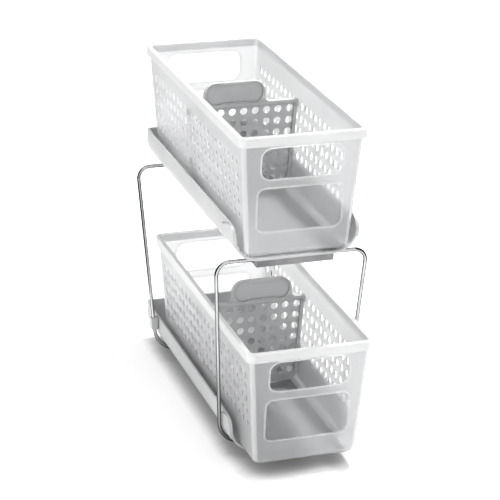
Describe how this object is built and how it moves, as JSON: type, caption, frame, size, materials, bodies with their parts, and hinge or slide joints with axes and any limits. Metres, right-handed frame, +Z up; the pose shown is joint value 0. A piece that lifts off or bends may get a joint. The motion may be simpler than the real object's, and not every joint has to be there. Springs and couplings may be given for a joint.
{
  "type": "pull-out cabinet basket",
  "caption": "Two-tier cabinet organiser: perforated translucent baskets with dividers slide out on shallow trays that bent wire rings hold one above the other.",
  "frame": {"origin": "on the floor under the middle of the organiser's box as it stands at rest, with the lower basket pulled out further than the upper one", "axes": "+Z up; -Y is the front, where the baskets come out; +X is the right-hand side seen from the front"},
  "size_m": [0.1826, 0.428, 0.3959],
  "materials": {
    "tray": "fine satin, light grey moulding",
    "bar": "satin mid-grey moulding",
    "basket": "frosted translucent moulding with smooth rims",
    "divider": "satin mid-grey moulding",
    "wire": "bright chrome-plated wire",
    "foot": "dull rubber"
  },
  "bodies": {
    "stand": {"lower_tray": "tray", "upper_tray": "tray", "front_ring": "wire", "rear_ring": "wire", "lower_front_bar": "bar", "lower_rear_bar": "bar", "upper_front_bar": "bar", "upper_rear_bar": "bar", "foot_front_left": "foot", "foot_front_right": "foot", "foot_rear_left": "foot", "foot_rear_right": "foot"},
    "upper_basket": {"upper_basket": "basket", "upper_divider": "divider"},
    "lower_basket": {"lower_basket": "basket", "lower_divider": "divider"}
  },
  "joints": [
    {"name": "upper_basket_slide", "type": "slide", "parent": "stand", "child": "upper_basket", "axis": [0, -1, 0], "range_m": [-0.002, 0.168]},
    {"name": "lower_basket_slide", "type": "slide", "parent": "stand", "child": "lower_basket", "axis": [0, -1, 0], "range_m": [-0.048, 0.122]}
  ]
}
